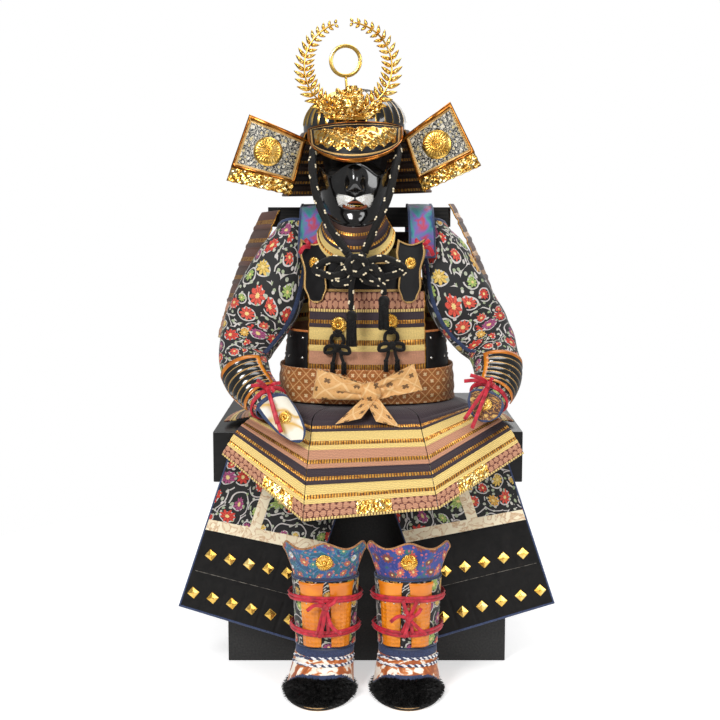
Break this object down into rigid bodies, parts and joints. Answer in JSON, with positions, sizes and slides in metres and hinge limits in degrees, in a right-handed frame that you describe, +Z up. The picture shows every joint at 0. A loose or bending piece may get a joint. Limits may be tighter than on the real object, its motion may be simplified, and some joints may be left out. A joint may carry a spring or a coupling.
{
  "type": "samurai armour on a storage chest stand",
  "caption": "Hollow suit of laced and lacquered armour with crested helmet, face mask and brocade sleeves, set up seated on its black storage chest",
  "frame": {"origin": "centre of the storage chest's underside, which stands on the floor", "axes": "+Z up; the suit faces -Y; +X is to the right of a viewer who faces it"},
  "size_m": [0.759, 0.8001, 1.3195],
  "materials": {
    "black_lacquer": "gloss",
    "brown_lacquer": "gloss",
    "orange_lacquer": "satin",
    "gilt_metal": "polished",
    "silk_lacing": "matte",
    "floral_brocade": "matte",
    "blue_brocade": "matte",
    "gold_brocade": "satin",
    "ivory_brocade": "satin",
    "crimson_ribbon": "satin",
    "black_cord": "matte",
    "black_wood": "satin",
    "black_fur": "matte"
  },
  "bodies": {
    "root": {"chest_box": "black_wood", "chest_lid": "black_wood", "stand": "black_wood", "cuirass_front": "silk_lacing", "cuirass_back": "brown_lacquer", "cuirass_side_left": "black_lacquer", "cuirass_side_right": "black_lacquer", "breast_plate": "black_lacquer", "shoulder_strap_left": "blue_brocade", "shoulder_strap_right": "blue_brocade", "leaf_plate_left": "black_lacquer", "leaf_plate_right": "black_lacquer", "throat_guard": "silk_lacing", "mask": "black_lacquer", "helmet_bowl": "black_lacquer", "visor": "gilt_metal", "neck_guard": "brown_lacquer", "turnback_left": "black_lacquer", "turnback_right": "black_lacquer", "crest_wreath": "gilt_metal", "crest_head": "gilt_metal", "chin_cord_left": "black_cord", "chin_cord_right": "black_cord", "chin_knot": "black_cord", "tassel_left": "black_cord", "tassel_right": "black_cord", "sleeve_left": "floral_brocade", "sleeve_right": "floral_brocade", "forearm_plate_left": "orange_lacquer", "forearm_plate_right": "orange_lacquer", "hand_guard_left": "ivory_brocade", "hand_guard_right": "ivory_brocade", "wrist_tie_left": "crimson_ribbon", "wrist_tie_right": "crimson_ribbon", "shoulder_guard_left": "brown_lacquer", "shoulder_guard_right": "brown_lacquer", "sash_band": "gold_brocade", "sash_bow": "ivory_brocade", "chest_bow_left": "black_cord", "chest_bow_right": "black_cord", "skirt_front": "silk_lacing", "skirt_front_left": "silk_lacing", "skirt_front_right": "silk_lacing", "skirt_back_left": "silk_lacing", "skirt_back_right": "silk_lacing", "thigh_guard_left": "floral_brocade", "thigh_guard_right": "floral_brocade", "knee_flap_left": "blue_brocade", "knee_flap_right": "blue_brocade", "shin_guard_left": "blue_brocade", "shin_guard_right": "blue_brocade", "shin_splint_left_1": "orange_lacquer", "shin_splint_left_2": "orange_lacquer", "shin_splint_right_1": "orange_lacquer", "shin_splint_right_2": "orange_lacquer", "shin_tie_left": "crimson_ribbon", "shin_tie_right": "crimson_ribbon", "shoe_left": "black_fur", "shoe_right": "black_fur"}
  },
  "joints": []
}
